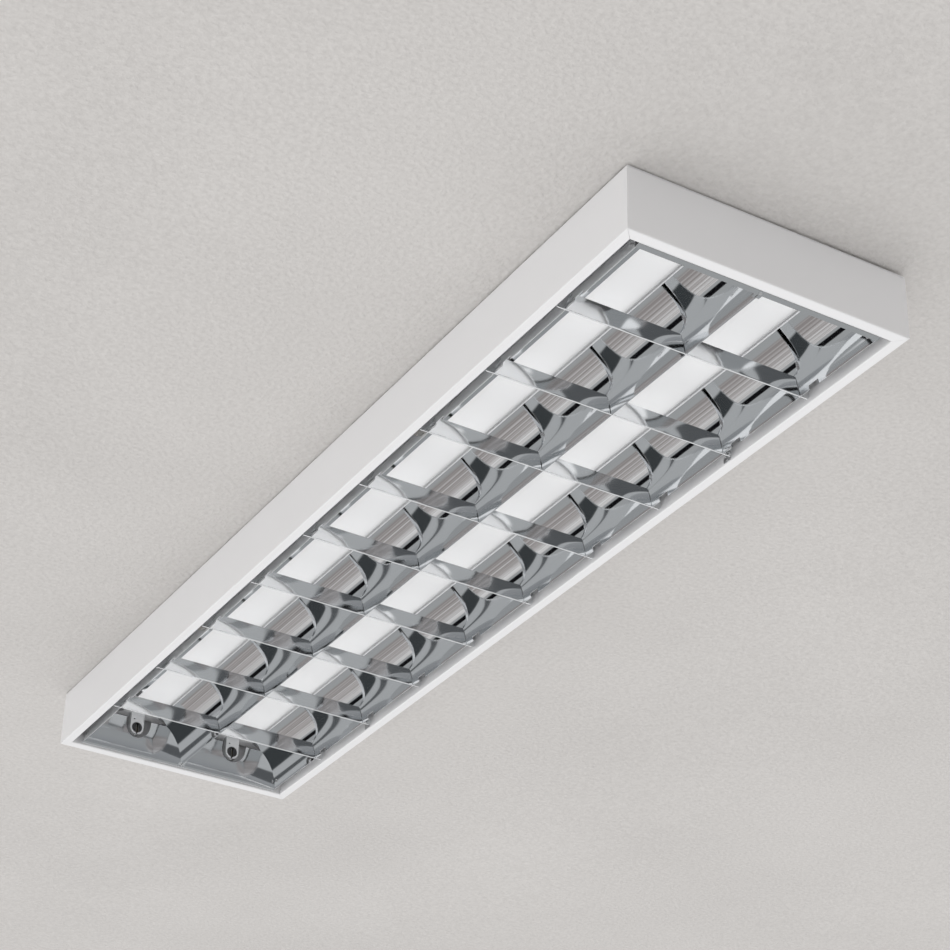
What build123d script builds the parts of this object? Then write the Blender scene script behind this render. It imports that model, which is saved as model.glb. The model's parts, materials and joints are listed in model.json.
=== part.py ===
from build123d import *
import math
import os

# Surface mount louvre light for two tubes: housing, gear tray, lampholders and a hinged mirror louvre.
# Frame: origin at the middle of the ceiling face, +Z up, X along the tubes, the near end at +X.
# The louvre hangs on the +Y side and opens at the -Y side.

# Driving dimensions, in millimetres
lamp_length = 1149.0
lamp_play = 1.5
lamp_pitch = 126.8
holder_setback = 24.75
rim_width = 10.5
rim_width_end = 12.0
rim_lip = 13.5
side_gap = 10.7
end_gap = 8.5
housing_sheet = 0.7
bend_radius = 1.2
mitre_gap = 0.15

# Heights above the rim plane
louvre_bottom = 2.0
blade_height = 18.0
lamp_height = 34.0
reflector_height = 48.0
hinge_height = 6.6

# Gear tray
tray_reflector_gap = 3.0
tray_edge_gap = 4.3
tray_edge_height = 10.5
tray_end_gap = 10.0
dip_depth = 12.0
dip_half_width = 19.0
dip_slope = 3.0
standoff_length = 11.6
standoff_across_flats = 7.0
standoff_x = 400.0
standoff_y = 115.0
screw_radius = 2.0
screw_clearance = 0.05
screw_head_radius = 3.6
screw_head_height = 2.4
fastener_sides = 8
head_bevel = 0.6
screw_slot_width = 0.8
screw_slot_depth = 0.8
screw_reach = 8.0
screw_end_room = 1.0
screw_standing_out = 1.0

# Ceiling fixings and cable entry
fixing_spacing_x = 900.0
fixing_spacing_y = 180.0
fixing_slot_width = 5.5
fixing_slot_length = 12.0
cable_hole_radius = 10.0
bush_bore_radius = 7.0
bush_flange_radius = 12.5
bush_flange_height = 2.0
bush_height = 6.0
bush_sides = 24

# End plates
end_tab = 10.0
end_side_tab = 12.0
side_tab_gap = 0.5
end_rivet_y = 100.0
rivet_radius = 1.6
rivet_head_radius = 3.0
rivet_head_height = 0.9
rivet_clearance = 0.05

# Ballast, terminals and earth stud
ballast_length = 340.0
ballast_width = 30.0
ballast_height = 20.0
ballast_chamfer = 3.0
ballast_foot = 10.0
ballast_foot_height = 1.2
ballast_x = 250.0
terminal_length = 30.0
terminal_width = 18.0
terminal_height = 16.0
terminal_x = -60.0
terminal_pole_pitch = 8.5
terminal_wire_radius = 2.0
terminal_wire_height = 5.3
clamp_screw_radius = 1.9
clamp_screw_length = 6.0
clamp_screw_sink = 1.0
terminal_ear = 8.0
terminal_ear_height = 3.0
earth_x = -125.0
earth_length = 12.0
nut_across_flats = 7.0
nut_height = 3.2

# Lampholders
holder_width = 17.0
holder_thickness = 9.5
holder_neck_width = 14.0
holder_neck_thickness = 8.0
holder_neck_height = 2.0
holder_foot_height = 3.0
neck_gap = 0.2
rotor_radius = 6.5
rotor_thickness = 4.4
rotor_proud = 0.4
rotor_gap = 0.05
rotor_slot_rim = 1.0
pin_slot = 2.8
contact_pocket = 2.0
contact_pocket_rim = 1.0
contact_length = 3.2
contact_width = 2.2
contact_thickness = 0.5
contact_offset = 2.4
holder_eye_radius = 1.1
holder_eye_offset = 4.0

# Louvre
mirror_sheet = 0.5
reflector_slot_half = 23.0
reflector_sagitta = 8.4
reflector_hem = 2.0
spine_tip = 0.6
cell_count = 10
end_cell_shortening = 11.0
blade_sheet = 0.4
blade_tip = 0.45
blade_flare = 2.8
blade_sagitta = 0.45
blade_end_gap = 0.9
blade_free_gap = 2.3
blade_lock_height = 9.0
blade_corner = 2.7
louvre_clearance = 0.3
blade_ear_length = 12.0
blade_ear_low = 2.0
blade_ear_high = 7.0
window_start = 14.0
window_length = 14.0
window_height = 4.5
end_reflector_drop = 6.0
end_reflector_lean = 10.0
end_flange = 6.5
lamp_slot_radius = 15.5
lamp_slot_rise = 2.0
trough_room = 2.0
end_ear_length = 12.0
end_ear_setback = 1.6
end_ear_low = 5.0
end_ear_high = 15.0
spine_tongue_width = 8.0
spine_tongue_length = 5.0
small_rivet_radius = 1.2
small_rivet_head_radius = 2.0
small_rivet_head_height = 0.7
rivet_hole_reach = 5.5
tangent_step = 0.5

# Hinges and spring clips
hinge_inset = 5.5
hinge_blades = (2, 8)
pin_radius = 1.0
pin_clearance = 0.05
pin_head_radius = 1.8
pin_head_height = 0.6
pin_head_stand = 1.6
pin_tail = 1.0
hinge_ear_radius = 3.0
hinge_ear_sides = 16
hinge_ear_thickness = 1.2
hinge_ear_stand = 3.0
hinge_base_length = 10.0
hinge_base_sheet = 0.8
hinge_base_low = 1.7
hinge_base_high = 6.7
clip_blades = (3, 7)
clip_width = 10.0
clip_sheet = 0.4
clip_stand = 9.0
clip_gap = 0.3
clip_foot_low = 6.0
clip_foot_high = 15.0
clip_rivet_height = 11.5
clip_bow_height = 3.6
clip_nose_height = 6.0
clip_tip_height = 13.0
clip_tip_inset = 2.5

# Places that follow from the sizes above
housing_length = lamp_length + lamp_play + 2 * holder_setback
housing_width = 2 * (lamp_pitch + side_gap + rim_width)
tray_height = reflector_height + reflector_hem + tray_reflector_gap
end_reflector_height = reflector_height - end_reflector_drop
housing_height = tray_height + 2 * housing_sheet + standoff_length
rim_z = -housing_height
half_length = housing_length / 2
half_width = housing_width / 2
tray_z = rim_z + tray_height
dip_z = tray_z - dip_depth
dip_floor_z = dip_z + housing_sheet
top_under_z = -housing_sheet
lamp_y = lamp_pitch / 2
lamp_z = rim_z + lamp_height
louvre_z = rim_z + louvre_bottom
blade_top_z = louvre_z + blade_height
reflector_z = rim_z + reflector_height
louvre_half_length = half_length - rim_width_end - end_gap
holder_face_x = half_length - holder_setback
cell_pitch = (2 * louvre_half_length + 2 * end_cell_shortening) / cell_count
lip_y = half_width - rim_width
hinge_y = lip_y - hinge_inset
hinge_z = rim_z + hinge_height
overshoot = 1.0
far = 2 * housing_height


def save(solid, name):
    """Write one node."""
    export_step(solid, f"parts/{name}.step")


def strip(line, thickness, side):
    """Face of a folded sheet that lies on one side of a line."""
    return make_face(line.offset_2d(thickness, side=side))


def along_x(face, length, middle=0.0):
    """Solid with a section drawn in Y and Z, centred on a place along X."""
    return Pos(middle, 0, 0) * extrude(Plane.YZ * face, amount=length / 2, both=True)


def along_y(face, length, middle=0.0):
    """Solid with a section drawn in X and Z, centred on a place along Y."""
    return Pos(0, middle, 0) * extrude(Plane.XZ * face, amount=length / 2, both=True)


def upright(face, low, high):
    """Solid with a plan drawn in X and Y between two heights."""
    return extrude(Plane.XY.offset(low) * face, amount=high - low)


def block(x0, x1, y0, y1, z0, z1):
    """Box between two corners, given in any order along each axis."""
    size = (abs(x1 - x0), abs(y1 - y0), abs(z1 - z0))
    return Pos((x0 + x1) / 2, (y0 + y1) / 2, (z0 + z1) / 2) * Box(*size)


def rod(radius, low, high, x=0.0, y=0.0):
    """Upright cylinder between two heights."""
    return Pos(x, y, (low + high) / 2) * Cylinder(radius, high - low)


def rod_x(radius, x0, x1, y, z):
    """Cylinder along X between two places."""
    return Pos((x0 + x1) / 2, y, z) * Rot(0, 90, 0) * Cylinder(radius, x1 - x0)


def polygon(*points):
    """Face inside a closed outline of straight lines."""
    return make_face(Polyline(*points, close=True))


def octagon(radius, x=0.0, y=0.0):
    """Outline of a small fastener or its hole, eight-sided to keep the mesh light, corners on the radius."""
    return Pos(x, y) * RegularPolygon(radius, fastener_sides)


def stub(radius, low, high, x=0.0, y=0.0):
    """Shank of a small fastener, or its hole, between two heights."""
    return upright(octagon(radius, x, y), low, high)


def button(radius, height):
    """Low bevelled rivet or screw head on the plane z = 0, rising to its height."""
    return loft([octagon(radius), Pos(0, 0, height) * octagon(radius - head_bevel)])


def rivet(radius, head_radius, head_height, grip, tail_height):
    """Rivet along Z, its head under z = 0 and its grip above it; at height 0 it has no tail head."""
    body = stub(radius, 0, grip)
    body += Rot(180, 0, 0) * button(head_radius, head_height)
    if tail_height > 0:
        body += Pos(0, 0, grip) * button(head_radius, tail_height)
    return body


def small_rivet(grip):
    """Small rivet with a head on both sides of its grip."""
    head = small_rivet_head_height
    return rivet(small_rivet_radius, small_rivet_head_radius, head, grip, head)


def reflector_arc(mouth_y, top_y, outward):
    """Curve of one mirror side from its low edge to its top edge; outward is +1 for a +Y wall."""
    return SagittaArc((mouth_y, louvre_z), (top_y, reflector_z), -outward * reflector_sagitta)


def reflector_line(mouth_y, top_y, outward):
    """The curve of a mirror side with its upright hem."""
    hem = Line((top_y, reflector_z), (top_y, reflector_z + reflector_hem))
    return Wire([reflector_arc(mouth_y, top_y, outward), hem])


side_mouth_y = lamp_pitch - spine_tip
side_top_y = lamp_y + reflector_slot_half
spine_top_y = lamp_y - reflector_slot_half


def back_strip(gap, thickness, low, high):
    """Section that follows the back of the +Y side reflector at a gap, between two heights over the rim."""
    arc = reflector_arc(side_mouth_y, side_top_y, 1)
    near = Wire([arc]).offset_2d(mirror_sheet + gap, side=Side.RIGHT, closed=False)
    whole = make_face(near.offset_2d(thickness, side=Side.RIGHT))
    window = Pos(lamp_pitch, rim_z + (low + high) / 2) * Rectangle(lamp_pitch, high - low)
    return whole & window


def back_point(height):
    """Y of the back of the +Y side reflector at a height over the rim."""
    rise = reflector_z - louvre_z
    run = side_mouth_y - side_top_y
    chord = math.hypot(run, rise)
    radius = (chord * chord / 4 + reflector_sagitta * reflector_sagitta) / (2 * reflector_sagitta)
    to_centre = radius - reflector_sagitta
    centre_y = (side_mouth_y + side_top_y) / 2 - to_centre * rise / chord
    centre_z = (louvre_z + reflector_z) / 2 - to_centre * run / chord
    level = rim_z + height - centre_z
    return centre_y + math.sqrt((radius + mirror_sheet) ** 2 - level * level)


def blade_x(index):
    """Place of a cross blade; blade 1 is next to the near end."""
    first = louvre_half_length - (cell_pitch - end_cell_shortening)
    return first - (index - 1) * cell_pitch


def blade_arc():
    """Outline of a blade's +X face in X and Z, hollow like the real mirror."""
    return SagittaArc((blade_tip, louvre_z), (blade_flare, blade_top_z), blade_sagitta)


def blade_notch(gap, high):
    """Straight-sided notch for a blade, from under the louvre to a height, clear of its faces by a gap."""
    rise = high - louvre_z
    low_half = blade_tip + gap
    high_half = low_half + (blade_flare - blade_tip) * rise / blade_height
    outline = polygon(
        (-low_half, louvre_z - overshoot),
        (low_half, louvre_z - overshoot),
        (low_half, louvre_z),
        (high_half, high),
        (-high_half, high),
        (-low_half, louvre_z),
    )
    return along_y(outline, 2 * half_width)


def spine_notch(gap, low):
    """Solid outline of the spine with a gap all round, above a height, for the notches of the blades."""
    right = reflector_arc(spine_tip + gap, spine_top_y + gap, -1)
    left = reflector_arc(-spine_tip - gap, -spine_top_y - gap, 1)
    closed = Wire([right, left, Line(right @ 1, left @ 1), Line(right @ 0, left @ 0)])
    whole = along_x(make_face(closed), 2 * half_length)
    return whole & block(-half_length, half_length, -half_width, half_width, low, 0)


def end_line():
    """Inner face line of the near end reflector in X and Z: flange, bend and leaning wall."""
    foot = louvre_half_length
    head = (foot - end_reflector_lean, rim_z + end_reflector_height)
    return Polyline((foot + end_flange, louvre_z), (foot, louvre_z), head)


def end_cut():
    """Solid beyond the near end reflector's inner face, for trimming what butts against it."""
    foot = louvre_half_length - rivet_clearance
    head = (foot - end_reflector_lean, rim_z + end_reflector_height)
    beyond = polygon(
        head, (head[0], 0), (half_length, 0), (half_length, rim_z), (foot, rim_z), (foot, louvre_z)
    )
    return along_y(beyond, housing_width)


def both_ends(solid):
    """A solid and its mirror image at the far end."""
    return solid + mirror(solid, about=Plane.YZ)


# Housing

fixing_places = [(sx * fixing_spacing_x / 2, sy * fixing_spacing_y / 2) for sx in (1, -1) for sy in (1, -1)]
standoff_places = [(x, sy * standoff_y) for x in (-standoff_x, 0, standoff_x) for sy in (1, -1)]
end_rivet_x = half_length - housing_sheet - end_tab / 2
end_rivet_places = [(sx * end_rivet_x, sy * end_rivet_y) for sx in (1, -1) for sy in (1, -1)]
hinge_places = [blade_x(index) - hinge_ear_stand - hinge_base_length / 2 for index in hinge_blades]
hinge_rivet_z = rim_z + (hinge_base_low + hinge_base_high) / 2


def rim_corner(inner_drop):
    """Plan of what the near end plate takes of the rim, up to the mitre lines, drawn back by a gap."""
    inner_x = half_length - rim_width_end - overshoot
    slope = rim_width / rim_width_end
    reach = (half_length - inner_x) * slope
    outer = half_width - inner_drop
    return polygon(
        (half_length + overshoot, outer + overshoot * slope),
        (inner_x, half_width - reach - inner_drop),
        (inner_x, -(half_width - reach - inner_drop)),
        (half_length + overshoot, -(outer + overshoot * slope)),
    )


def hinge_rivet_hole(x):
    """Cross hole through the rim's lip for one bracket rivet."""
    outline = octagon(small_rivet_radius + rivet_clearance, x, hinge_rivet_z)
    return along_y(outline, 2 * rivet_hole_reach, lip_y)


def make_housing_channel():
    """Folded channel: top, long sides, rim flanges and their upturned lips."""
    outline = FilletPolyline(
        (-lip_y, rim_z + rim_lip),
        (-lip_y, rim_z),
        (-half_width, rim_z),
        (-half_width, 0),
        (half_width, 0),
        (half_width, rim_z),
        (lip_y, rim_z),
        (lip_y, rim_z + rim_lip),
        radius=bend_radius,
    )
    channel = along_x(strip(outline, housing_sheet, Side.RIGHT), housing_length)
    rim_top = rim_z + rim_lip + overshoot
    corner = upright(rim_corner(-mitre_gap), rim_z - overshoot, rim_top)
    inside = half_width - housing_sheet
    corner &= block(0, housing_length, -inside, inside, rim_z - overshoot, rim_top)
    channel -= both_ends(corner)
    face_room = block(
        half_length - housing_sheet,
        housing_length,
        -housing_width,
        housing_width,
        rim_z - overshoot,
        top_under_z,
    )
    channel -= both_ends(face_room)
    for x, y in fixing_places:
        slot = Pos(x, y) * SlotOverall(fixing_slot_length, fixing_slot_width)
        channel -= upright(slot, -overshoot, overshoot)
    for x, y in end_rivet_places:
        channel -= stub(rivet_radius + rivet_clearance, -overshoot, overshoot, x, y)
    channel -= rod(cable_hole_radius, -overshoot, overshoot)
    for x in hinge_places:
        channel -= hinge_rivet_hole(x)
    return channel


def make_end_plate():
    """Near end plate: face, top tab, rim flange with lip and two side tabs."""
    outline = FilletPolyline(
        (half_length - housing_sheet - end_tab, top_under_z),
        (half_length, top_under_z),
        (half_length, rim_z),
        (half_length - rim_width_end, rim_z),
        (half_length - rim_width_end, rim_z + rim_lip),
        radius=bend_radius,
    )
    plate = along_y(strip(outline, housing_sheet, Side.RIGHT), housing_width)
    inside = half_width - housing_sheet
    top_room = half_width - housing_sheet - bend_radius
    tab_low = top_under_z - housing_sheet - side_tab_gap
    for side in (1, -1):
        plate -= block(
            0, half_length - housing_sheet, side * top_room, side * housing_width, tab_low, overshoot
        )
    rim_top = rim_z + rim_lip + overshoot
    rim_zone = block(0, half_length - housing_sheet, -half_width, half_width, rim_z - overshoot, rim_top)
    kept = upright(rim_corner(mitre_gap), rim_z - overshoot, rim_top)
    kept &= block(0, housing_length, -inside, inside, rim_z - overshoot, rim_top)
    plate -= rim_zone - kept
    tab_foot = rim_z + housing_sheet + bend_radius
    for side in (1, -1):
        plate += block(
            half_length - housing_sheet - end_side_tab,
            half_length - housing_sheet / 2,
            side * inside,
            side * (inside - housing_sheet),
            tab_foot,
            tab_low,
        )
    for x, y in end_rivet_places:
        if x > 0:
            plate -= stub(rivet_radius + rivet_clearance, -bend_radius - housing_sheet, overshoot, x, y)
    return plate


def make_end_rivets():
    """Rivets that hold the end plates' top tabs, flush with the ceiling face."""
    grip = 2 * housing_sheet
    one = rivet(rivet_radius, rivet_head_radius, rivet_head_height, grip, 0)
    return [Pos(x, y, -grip) * one for x, y in end_rivet_places]


def make_cable_bush():
    """Rubber bush in the cable entry, with its flange under the sheet."""
    neck = RegularPolygon(cable_hole_radius - rivet_clearance, bush_sides)
    flange = RegularPolygon(bush_flange_radius, bush_sides)
    bush = upright(neck, -bush_height, 0)
    bush += upright(flange, top_under_z - bush_flange_height, top_under_z)
    bush -= rod(bush_bore_radius, -far, far)
    return bush


def make_standoffs():
    """Hexagonal stand-offs welded under the top, tapped for the tray screws."""
    low = top_under_z - standoff_length
    hexagon = RegularPolygon(standoff_across_flats / 2, 6, major_radius=False)
    one = upright(hexagon, low, top_under_z)
    one -= stub(screw_radius + screw_clearance, low - overshoot, low + screw_reach)
    return [Pos(x, y, 0) * one for x, y in standoff_places]


def pan_screw(length):
    """Screw along Z with its head under z = 0."""
    head = Rot(180, 0, 0) * button(screw_head_radius, screw_head_height)
    head -= Pos(0, 0, -screw_head_height) * Box(screw_head_radius, screw_slot_width, 2 * screw_slot_depth)
    return stub(screw_radius, 0, length) + head


def make_tray_screws():
    """Screws that hold the gear tray to the stand-offs."""
    one = pan_screw(housing_sheet + screw_reach - screw_end_room)
    return [Pos(x, y, tray_z) * one for x, y in standoff_places]


# Gear tray and what it carries

tray_half_width = half_width - tray_edge_gap - housing_sheet
tray_half_length = half_length - tray_end_gap
holder_places = [(sx, sy) for sx in (1, -1) for sy in (-1, 1)]
holder_middle_x = holder_face_x + holder_thickness / 2


def make_gear_tray():
    """White folded tray with raised edges and a central trough for the gear."""
    edge_top = tray_z + tray_edge_height
    outline = Polyline(
        (-tray_half_width, edge_top),
        (-tray_half_width, tray_z),
        (-dip_half_width - dip_slope, tray_z),
        (-dip_half_width, dip_z),
        (dip_half_width, dip_z),
        (dip_half_width + dip_slope, tray_z),
        (tray_half_width, tray_z),
        (tray_half_width, edge_top),
    )
    tray = along_x(strip(outline, housing_sheet, Side.LEFT), 2 * tray_half_length)
    neck_x = holder_neck_thickness / 2 + neck_gap
    neck_y = holder_neck_width / 2 + neck_gap
    for sx, sy in holder_places:
        middle_x = sx * holder_middle_x
        middle_y = sy * lamp_y
        tray -= block(
            middle_x - neck_x, middle_x + neck_x, middle_y - neck_y, middle_y + neck_y, tray_z - overshoot, 0
        )
    for x, y in standoff_places:
        tray -= stub(screw_radius + neck_gap, tray_z - overshoot, tray_z + overshoot, x, y)
    for side in (1, -1):
        x = ballast_x + side * (ballast_length + ballast_foot) / 2
        tray -= stub(screw_radius + screw_clearance, dip_z - overshoot, dip_z + overshoot, x, 0)
    tray -= stub(screw_radius + screw_clearance, dip_z - overshoot, dip_z + overshoot, earth_x, 0)
    tray -= stub(screw_radius + screw_clearance, dip_z - overshoot, dip_z + overshoot, terminal_screw_x(), 0)
    return tray


def terminal_screw_x():
    """Place of the screw that holds the terminal block."""
    return terminal_x - terminal_length / 2 - terminal_ear / 2


def make_ballast():
    """Electronic ballast: a folded case on a long foot plate, with terminal ends."""
    case = block(
        ballast_x - ballast_length / 2,
        ballast_x + ballast_length / 2,
        -ballast_width / 2,
        ballast_width / 2,
        dip_floor_z,
        dip_floor_z + ballast_height,
    )
    case = chamfer(case.edges().filter_by(Axis.X).group_by(Axis.Z)[-1], ballast_chamfer)
    foot_reach = ballast_length / 2 + ballast_foot
    case += block(
        ballast_x - foot_reach,
        ballast_x + foot_reach,
        -ballast_width / 2,
        ballast_width / 2,
        dip_floor_z,
        dip_floor_z + ballast_foot_height,
    )
    for side in (1, -1):
        x = ballast_x + side * (ballast_length + ballast_foot) / 2
        case -= stub(screw_radius + screw_clearance, dip_floor_z - overshoot, 0, x, 0)
        step = ballast_x + side * ballast_length / 2
        inner = step - side * ballast_foot
        case -= block(
            inner, step, -ballast_width, ballast_width, dip_floor_z + ballast_height / 2, dip_floor_z + far
        )
    return case


def make_ballast_screws():
    """Screws from the gear side through the ballast's feet and the trough."""
    length = ballast_foot_height + housing_sheet + screw_standing_out
    one = Rot(180, 0, 0) * pan_screw(length)
    places = [ballast_x + side * (ballast_length + ballast_foot) / 2 for side in (1, -1)]
    return [Pos(x, 0, dip_floor_z + ballast_foot_height) * one for x in places]


terminal_poles = [terminal_x + step * terminal_pole_pitch for step in (-1, 0, 1)]


def clamp_screw_low():
    """Height of the clamp screws' lower ends, on the floors of their wells."""
    return dip_floor_z + terminal_height - clamp_screw_sink - clamp_screw_length


def make_terminal_block():
    """Three-pole mains terminal with wire holes across it, screw wells above and a fixing ear."""
    half = terminal_length / 2
    body = block(
        terminal_x - half,
        terminal_x + half,
        -terminal_width / 2,
        terminal_width / 2,
        dip_floor_z,
        dip_floor_z + terminal_height,
    )
    body += block(
        terminal_x - half - terminal_ear,
        terminal_x - half,
        -terminal_width / 2,
        terminal_width / 2,
        dip_floor_z,
        dip_floor_z + terminal_ear_height,
    )
    for x in terminal_poles:
        wire = octagon(terminal_wire_radius, x, dip_floor_z + terminal_wire_height)
        body -= along_y(wire, 2 * terminal_width)
        body -= stub(clamp_screw_radius + screw_clearance, clamp_screw_low(), 0, x, 0)
    body -= stub(screw_radius + screw_clearance, dip_floor_z - overshoot, 0, terminal_screw_x(), 0)
    return body


def make_clamp_screws():
    """Slotted clamp screws in the terminal's wells."""
    low = clamp_screw_low()
    high = low + clamp_screw_length
    one = stub(clamp_screw_radius, low, high)
    one -= Pos(0, 0, high) * Box(2 * clamp_screw_radius, screw_slot_width, 2 * screw_slot_depth)
    return [Pos(x, 0, 0) * one for x in terminal_poles]


def make_terminal_screw():
    """Fixing screw through the terminal's ear and the trough."""
    one = Rot(180, 0, 0) * pan_screw(terminal_ear_height + housing_sheet + screw_standing_out)
    return Pos(terminal_screw_x(), 0, dip_floor_z + terminal_ear_height) * one


def make_earth_stud():
    """Stud pressed into the trough for the protective earth."""
    return stub(screw_radius, dip_z, dip_z + earth_length, earth_x, 0)


def make_earth_nut():
    """Nut on the earth stud, on the trough's floor."""
    hexagon = RegularPolygon(nut_across_flats / 2, 6, major_radius=False)
    nut = upright(hexagon, dip_floor_z, dip_floor_z + nut_height)
    nut -= stub(screw_radius + screw_clearance, dip_z, dip_floor_z + far)
    return Pos(earth_x, 0, 0) * nut


# Lampholders, drawn for the near end at y = 0 and then placed

rotor_depth = rotor_thickness - rotor_proud


def make_holder():
    """Push-in lampholder: rounded tongue, neck through the tray, snap foot, rotor bore and pin slot."""
    tongue = Pos(0, lamp_z) * Circle(holder_width / 2)
    tongue += Pos(0, (lamp_z + tray_z) / 2) * Rectangle(holder_width, tray_z - lamp_z)
    middle = holder_middle_x
    holder = along_x(tongue, holder_thickness, middle)
    neck_top = tray_z + housing_sheet + holder_neck_height
    neck = Pos(0, (tray_z + neck_top) / 2) * Rectangle(holder_neck_width, neck_top - tray_z)
    holder += along_x(neck, holder_neck_thickness, middle)
    foot_low = tray_z + housing_sheet
    foot = polygon(
        (-holder_width / 2, foot_low),
        (holder_width / 2, foot_low),
        (holder_neck_width / 2 - neck_gap, foot_low + holder_foot_height),
        (-holder_neck_width / 2 + neck_gap, foot_low + holder_foot_height),
    )
    holder += along_x(foot, holder_neck_thickness, middle)
    bore_end = holder_face_x + rotor_depth
    holder -= rod_x(rotor_radius + rotor_gap, holder_face_x - overshoot, bore_end, 0, lamp_z)
    pocket_end = bore_end + contact_pocket
    pocket_y = contact_width / 2 + contact_pocket_rim
    pocket_z = contact_offset + contact_length / 2 + contact_pocket_rim
    holder -= block(holder_face_x, pocket_end, -pocket_y, pocket_y, lamp_z - pocket_z, lamp_z + pocket_z)
    slot = pin_slot / 2
    holder -= block(holder_face_x - overshoot, bore_end, -slot, slot, lamp_z - holder_width, lamp_z)
    eye_z = lamp_z + rotor_radius + holder_eye_offset
    eye = octagon(holder_eye_radius, holder_eye_offset, eye_z)
    holder -= along_x(eye, 2 * rotor_depth, holder_face_x)
    return holder


def make_rotor():
    """Rotor that locks a lamp's pins by a quarter turn, with its slot open downwards."""
    x0 = holder_face_x - rotor_proud
    rotor = rod_x(rotor_radius, x0, x0 + rotor_thickness, 0, lamp_z)
    slot = pin_slot / 2
    slot_top = lamp_z + rotor_radius - rotor_slot_rim
    rotor -= block(x0 - overshoot, x0 + rotor_thickness + overshoot, -slot, slot, rim_z, slot_top)
    return rotor


def make_contacts():
    """Two contact leaves on the floor of one lampholder's pocket."""
    x1 = holder_face_x + rotor_depth + contact_pocket
    leaves = []
    for side in (1, -1):
        z = lamp_z + side * contact_offset
        leaves.append(
            block(
                x1 - contact_thickness,
                x1,
                -contact_width / 2,
                contact_width / 2,
                z - contact_length / 2,
                z + contact_length / 2,
            )
        )
    return leaves


def placed(solid, sx, sy):
    """A near lampholder piece moved to its column and, for the far end, turned to face the lamp."""
    turned = solid if sx > 0 else Rot(0, 0, 180) * solid
    return Pos(0, sy * lamp_y, 0) * turned


# Louvre

end_ear_x = louvre_half_length - end_ear_setback - end_ear_length / 2
ear_middle = (end_ear_low + end_ear_high) / 2


def back_plane(x, height):
    """Frame on the back of the +Y side reflector, its Z axis pointing out of the sheet."""
    y_low = back_point(height - tangent_step)
    y_high = back_point(height + tangent_step)
    tilt = math.degrees(math.atan2(y_low - y_high, 2 * tangent_step))
    return Pos(x, back_point(height), rim_z + height) * Rot(tilt - 90, 0, 0)


def back_rivet(x, height, outer_sheet):
    """Rivet through the side reflector and a sheet on its back, head on the mirror side."""
    grip = mirror_sheet + outer_sheet + louvre_clearance
    return back_plane(x, height) * Pos(0, 0, -mirror_sheet - louvre_clearance / 2) * small_rivet(grip)


def back_hole(x, height):
    """Hole for such a rivet."""
    reach = rivet_hole_reach / 2
    return back_plane(x, height) * stub(small_rivet_radius + rivet_clearance, -reach, reach)


clip_places = [blade_x(index) - clip_stand for index in clip_blades]


def make_side_reflector(side):
    """Curved mirror side with blade notches, lock windows and rivet holes; side is +1 at +Y."""
    section = strip(reflector_line(side_mouth_y, side_top_y, 1), mirror_sheet, Side.RIGHT)
    sheet = along_x(section, 2 * louvre_half_length)
    sheet -= both_ends(end_cut())
    notch = blade_notch(louvre_clearance, blade_top_z + louvre_clearance)
    outer = block(-far, far, lamp_y, half_width, -housing_height, 0)
    notch &= outer
    for index in range(1, cell_count):
        middle = blade_x(index)
        sheet -= Pos(middle, 0, 0) * notch
        start = middle + window_start
        sheet -= block(
            start, start + window_length, lamp_y, half_width, louvre_z - overshoot, louvre_z + window_height
        )
    for sign in (1, -1):
        sheet -= back_hole(sign * end_ear_x, ear_middle)
    if side < 0:
        for x in clip_places:
            sheet -= back_hole(x, clip_rivet_height)
    return sheet if side > 0 else mirror(sheet, about=Plane.XZ)


def make_spine():
    """V-shaped spine reflector, notched from below for the blades, with an end tongue at each end."""
    half = strip(reflector_line(spine_tip, spine_top_y, -1), mirror_sheet, Side.LEFT)
    section = half + mirror(half, about=Plane.YZ)
    fold = Pos(0, louvre_z + mirror_sheet / 2) * Rectangle(2 * spine_tip, mirror_sheet)
    spine = along_x(section + fold, 2 * louvre_half_length)
    spine -= both_ends(end_cut())
    lock_z = louvre_z + blade_lock_height
    notch = blade_notch(louvre_clearance, lock_z + louvre_clearance)
    for index in range(1, cell_count):
        spine -= Pos(blade_x(index), 0, 0) * notch
    tongue = block(
        louvre_half_length - spine_tongue_length,
        louvre_half_length + spine_tongue_length,
        -spine_tongue_width / 2,
        spine_tongue_width / 2,
        louvre_z + mirror_sheet,
        louvre_z + 2 * mirror_sheet,
    )
    spine += both_ends(tongue)
    spine -= both_ends(tongue_hole())
    return spine


tongue_rivet_x = louvre_half_length + spine_tongue_length / 2 + rivet_clearance


def tongue_hole():
    """Hole for the rivet that joins the spine's tongue and the end flange."""
    return stub(small_rivet_radius + rivet_clearance, rim_z, louvre_z + rivet_hole_reach, tongue_rivet_x, 0)


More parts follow.
